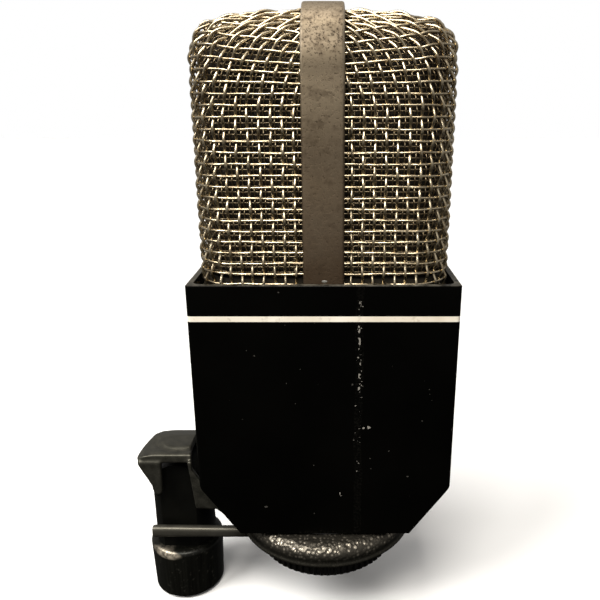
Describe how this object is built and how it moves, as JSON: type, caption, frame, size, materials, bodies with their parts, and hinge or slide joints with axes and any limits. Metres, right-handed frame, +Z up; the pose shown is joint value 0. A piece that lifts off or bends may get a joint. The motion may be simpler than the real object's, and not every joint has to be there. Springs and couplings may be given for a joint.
{
  "type": "ribbon microphone",
  "caption": "Side-address ribbon microphone with woven wire head, black chamfered body and a swivel mount with a threaded stand socket.",
  "frame": {"origin": "centre of the mouth of the stand thread, at the bottom of the stand socket", "axes": "+Z up along the stand thread and the microphone's length, -Y towards the front of the microphone, +X from the stand to the microphone"},
  "size_m": [0.0857, 0.0504, 0.162],
  "materials": {
    "cast_grey": "hammertone paint, dark grey",
    "post_black": "satin black",
    "barrel_black": "satin black, fine turned and brushed",
    "ring_black": "black oxide, knurled",
    "body_black": "gloss black enamel, chipped",
    "trim_cream": "cream enamel line",
    "wire_nickel": "bright nickel-plated woven wire",
    "strap_nickel": "worn nickel, pitted",
    "plate_steel": "zinc-plated",
    "screw_steel": "plain steel",
    "screw_black": "black oxide",
    "magnet_grey": "ground magnet",
    "pole_iron": "soft iron",
    "foil_alu": "corrugated foil",
    "brass_clamp": "milled brass",
    "pin_silver": "plated contact",
    "fibre_brown": "laminated fibre",
    "insert_black": "moulded insulator",
    "rubber_black": "soft rubber",
    "felt_grey": "cork and rubber pad",
    "core_iron": "laminated iron",
    "winding_amber": "taped winding",
    "wire_red": "insulated wire",
    "wire_white": "insulated wire",
    "brass_base": "turned brass"
  },
  "bodies": {
    "stand": {"stand_socket": "barrel_black", "swivel_post": "post_black", "pivot_lock_screw": "cast_grey", "tilt_pivot_screw": "screw_black", "friction_washer": "fibre_brown", "pivot_spring_washer": "screw_steel"},
    "bracket": {"swivel_bracket": "cast_grey", "cup_pad": "felt_grey"},
    "mic": {"body_shell": "body_black", "trim_band": "trim_cream", "head_collar": "body_black", "head_base": "plate_steel", "grille_frame": "brass_base", "grille_left": "wire_nickel", "grille_right": "wire_nickel", "inner_screen": "wire_nickel", "guard_strap": "strap_nickel", "motor_frame": "pole_iron", "magnet_left": "magnet_grey", "magnet_right": "magnet_grey", "pole_left": "pole_iron", "pole_right": "pole_iron", "ribbon": "foil_alu", "ribbon_clamp_lower": "brass_clamp", "ribbon_clamp_upper": "brass_clamp", "clamp_insulators": "fibre_brown", "clamp_screws": "screw_steel", "motor_grommets": "rubber_black", "motor_screws": "screw_steel", "base_bushing": "brass_base", "base_screws": "screw_steel", "xlr_insert": "insert_black", "xlr_pins": "pin_silver", "xlr_set_screw": "screw_black", "chassis_rail_left": "plate_steel", "chassis_rail_right": "plate_steel", "chassis_screws": "screw_steel", "transformer_core": "core_iron", "transformer_winding": "winding_amber", "transformer_straps": "plate_steel", "transformer_screws": "screw_steel", "terminal_board": "fibre_brown", "terminal_lugs": "pin_silver", "ribbon_leads": "wire_red", "output_leads": "wire_white"},
    "ring": {"locking_ring": "ring_black", "ring_washer": "fibre_brown"}
  },
  "joints": [
    {"name": "tilt", "type": "hinge", "parent": "stand", "child": "bracket", "pos_m": [0, 0, 0.0344], "axis": [0, -1, 0], "range_deg": [-15, 90]},
    {"name": "mic_turn", "type": "hinge", "parent": "bracket", "child": "mic", "pos_m": [0.0422, 0, 0.029], "axis": [0, 0, 1], "continuous": true},
    {"name": "ring_spin", "type": "hinge", "parent": "mic", "child": "ring", "pos_m": [0.0422, 0, 0.02], "axis": [0, 0, 1], "continuous": true}
  ]
}
